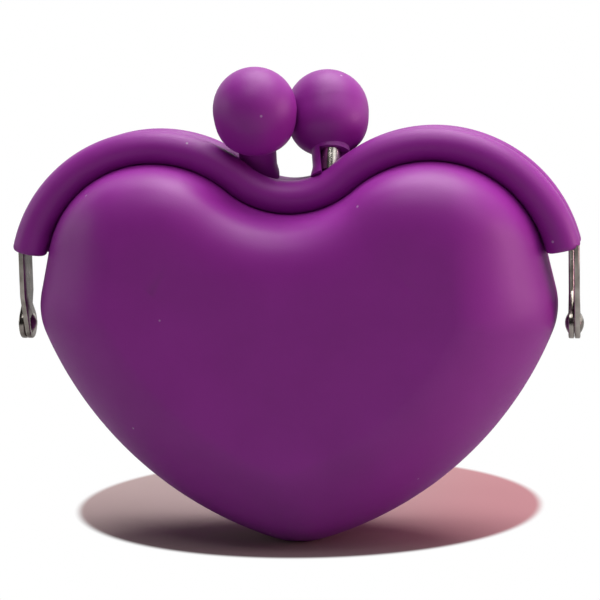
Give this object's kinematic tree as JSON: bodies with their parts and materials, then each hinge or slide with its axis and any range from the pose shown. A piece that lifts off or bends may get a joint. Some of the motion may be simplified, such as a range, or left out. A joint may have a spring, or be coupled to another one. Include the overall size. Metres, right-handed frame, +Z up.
{
  "type": "kiss-lock coin purse",
  "caption": "Puffed heart-shaped silicone coin purse with a riveted kiss-lock frame in its rims and ball knobs that snap shut.",
  "frame": {"origin": "centre of the flat foot under the heart's tip", "axes": "+X along the hinge axis to the right seen from the front, +Y to the back, +Z up"},
  "size_m": [0.1046, 0.038, 0.0863],
  "materials": {
    "silicone": "satin moulded silicone",
    "steel": "bright nickel plate"
  },
  "bodies": {
    "pouch": {"pouch_bowl": "silicone", "front_fold": "silicone", "rear_fold": "silicone"},
    "front_half": {"front_panel": "silicone", "front_rim_sleeve": "silicone", "front_frame_strip": "steel", "front_ball_post": "steel", "front_ball_cover": "silicone", "right_hinge_rivet": "steel"},
    "rear_half": {"rear_panel": "silicone", "rear_rim_sleeve": "silicone", "rear_frame_strip": "steel", "rear_ball_post": "steel", "rear_ball_cover": "silicone", "left_hinge_rivet": "steel"}
  },
  "joints": [
    {"name": "front_open", "type": "hinge", "parent": "pouch", "child": "front_half", "pos_m": [0, 0, 0.0401], "axis": [1, 0, 0], "range_deg": [0, 35], "deforming": ["front_fold"]},
    {"name": "rear_open", "type": "hinge", "parent": "pouch", "child": "rear_half", "pos_m": [0, 0, 0.0401], "axis": [-1, 0, 0], "range_deg": [0, 35], "deforming": ["rear_fold"]}
  ],
  "couplings": [
    {"joint": "rear_open", "follows": "front_open", "ratio": 1}
  ]
}
